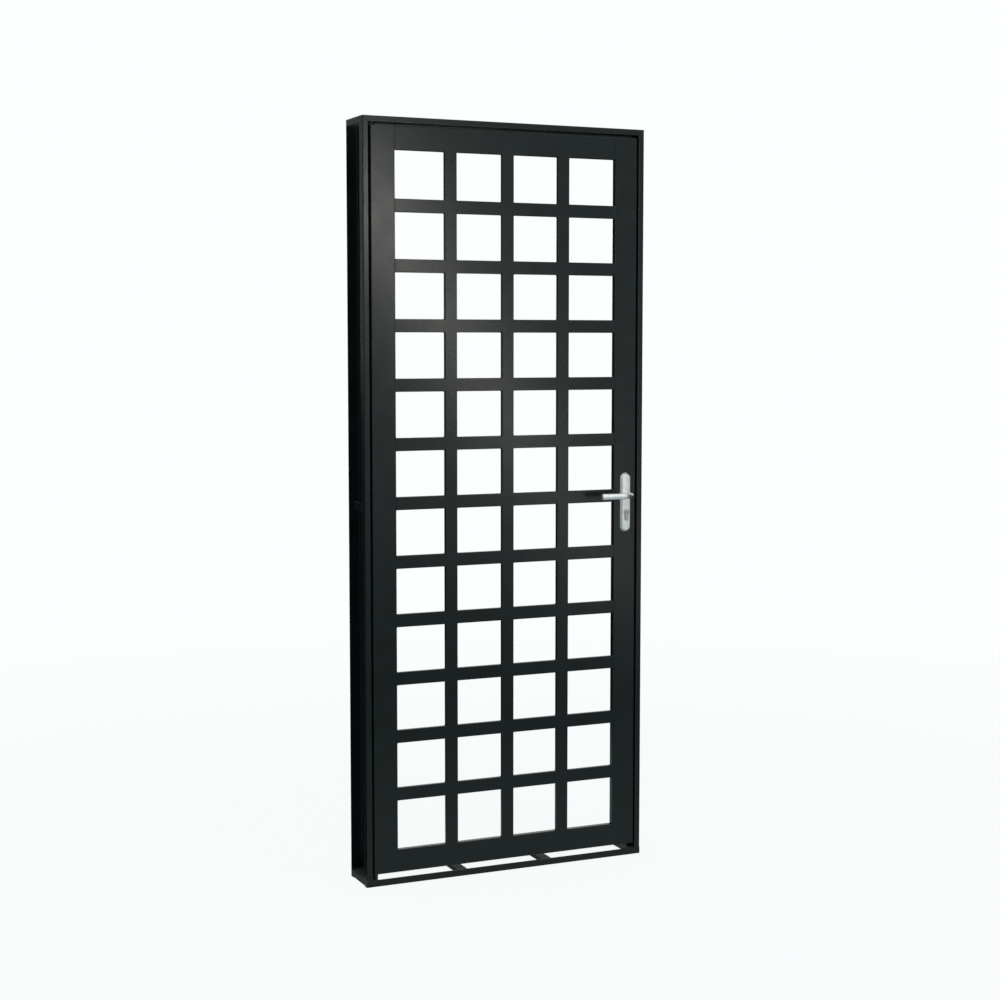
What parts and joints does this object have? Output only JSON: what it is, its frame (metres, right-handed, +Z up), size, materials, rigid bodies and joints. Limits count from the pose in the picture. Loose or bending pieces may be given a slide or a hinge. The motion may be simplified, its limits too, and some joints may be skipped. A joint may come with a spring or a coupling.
{
  "type": "grille door",
  "caption": "Black steel grille door in a folded steel frame, with a lever handle and a lattice of square openings.",
  "frame": {"origin": "middle of the underside of the front sill angle, on the floor", "axes": "+X from the pivot side to the lock side, +Y from the front to the back, +Z up"},
  "size_m": [0.87, 0.202, 2.15],
  "materials": {
    "black_paint": "satin black paint on sheet steel",
    "satin_metal": "satin anodised",
    "zinc_steel": "zinc plated",
    "cylinder_metal": "matt nickel plated"
  },
  "bodies": {
    "frame": {"jamb_pivot_side": "black_paint", "jamb_lock_side": "black_paint", "header": "black_paint", "header_cap_left": "black_paint", "header_cap_right": "black_paint", "sill_angle_front": "black_paint", "sill_angle_rear": "black_paint", "sill_foot_left": "black_paint", "sill_foot_right": "black_paint", "sill_tie_left": "black_paint", "sill_tie_right": "black_paint", "wall_anchor_left": "black_paint", "wall_anchor_right": "black_paint", "strike_plate": "zinc_steel", "pivot_pin_top": "zinc_steel", "pivot_pin_bottom": "zinc_steel"},
    "leaf": {"stile_pivot_side": "black_paint", "stile_lock_side": "black_paint", "rail_top": "black_paint", "rail_bottom": "black_paint", "grille": "black_paint", "pivot_bush_top": "zinc_steel", "pivot_bush_bottom": "zinc_steel", "lock_case": "zinc_steel", "lock_faceplate": "zinc_steel", "latch_bolt": "zinc_steel", "dead_bolt": "zinc_steel", "lock_cylinder": "cylinder_metal", "handle_plate_front": "satin_metal", "handle_plate_rear": "satin_metal"},
    "lever": {"lever_neck_front": "satin_metal", "lever_neck_rear": "satin_metal", "lever_grip_front": "satin_metal", "lever_grip_rear": "satin_metal", "spindle": "zinc_steel"}
  },
  "joints": [
    {"name": "leaf_swing", "type": "hinge", "parent": "frame", "child": "leaf", "pos_m": [-0.4058, -0.005, 0.036], "axis": [0, 0, -1], "range_deg": [0, 105]},
    {"name": "lever_turn", "type": "hinge", "parent": "leaf", "child": "lever", "pos_m": [0.3793, -0.01, 1.087], "axis": [0, -1, 0], "range_deg": [0, 45], "stiffness_Nm_per_rad": 1.2}
  ]
}
